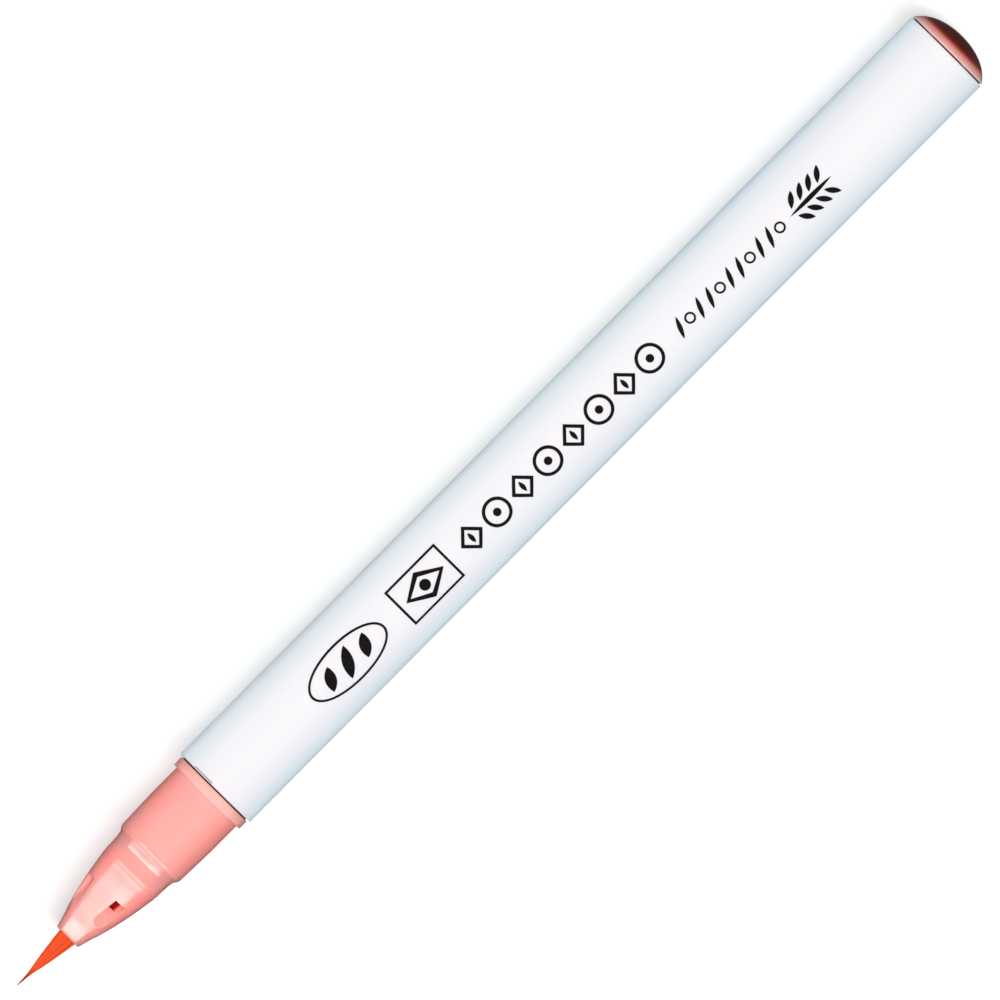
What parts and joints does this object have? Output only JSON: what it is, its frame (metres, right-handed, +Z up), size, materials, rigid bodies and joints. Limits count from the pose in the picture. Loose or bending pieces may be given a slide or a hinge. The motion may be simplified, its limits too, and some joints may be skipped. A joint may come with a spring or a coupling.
{
  "type": "brush pen",
  "caption": "Slim round brush pen without its cap: white barrel, domed tail plug, clear pink slotted nose and a tapered bristle tuft that bends, fed by a fibre reservoir inside.",
  "frame": {"origin": "on the surface that the pen lies on, under the middle of its length", "axes": "X along the pen with the bristle point at -X and the tail at +X, +Z up"},
  "size_m": [0.1374, 0.01, 0.01],
  "materials": {
    "barrel_plastic": "satin white",
    "plug_plastic": "glossy",
    "nose_plastic": "milky translucent, polished cone and satin grip",
    "ink_fibre": "soaked fibre",
    "wrap_film": "thin clear film",
    "wick_fibre": "soaked bonded fibre",
    "sleeve_plastic": "moulded",
    "root_nylon": "fused, soaked",
    "tuft_nylon": "wet nylon bristles"
  },
  "bodies": {
    "pen": {"barrel": "barrel_plastic", "tail_plug": "plug_plastic", "nose": "nose_plastic", "reservoir_wad": "ink_fibre", "reservoir_film": "wrap_film", "wick": "wick_fibre", "wick_sleeve": "sleeve_plastic", "tuft_root": "root_nylon", "root_retainer": "sleeve_plastic"},
    "tuft_heel": {"tuft_heel": "tuft_nylon"},
    "tuft_belly": {"tuft_belly": "tuft_nylon"},
    "tuft_point": {"tuft_point": "tuft_nylon"}
  },
  "joints": [
    {"name": "tuft_sway", "type": "hinge", "parent": "pen", "child": "tuft_heel", "pos_m": [-0.06155, 0, 0.005], "axis": [0, 0, 1], "range_deg": [-20, 20], "stiffness_Nm_per_rad": 0.0002},
    {"name": "tuft_press", "type": "hinge", "parent": "tuft_heel", "child": "tuft_belly", "pos_m": [-0.06305, 0, 0.005], "axis": [0, 1, 0], "range_deg": [-24, 24], "stiffness_Nm_per_rad": 0.0002},
    {"name": "point_curl", "type": "hinge", "parent": "tuft_belly", "child": "tuft_point", "pos_m": [-0.06525, 0, 0.005], "axis": [0, 1, 0], "range_deg": [-30, 30], "stiffness_Nm_per_rad": 0.0001}
  ]
}
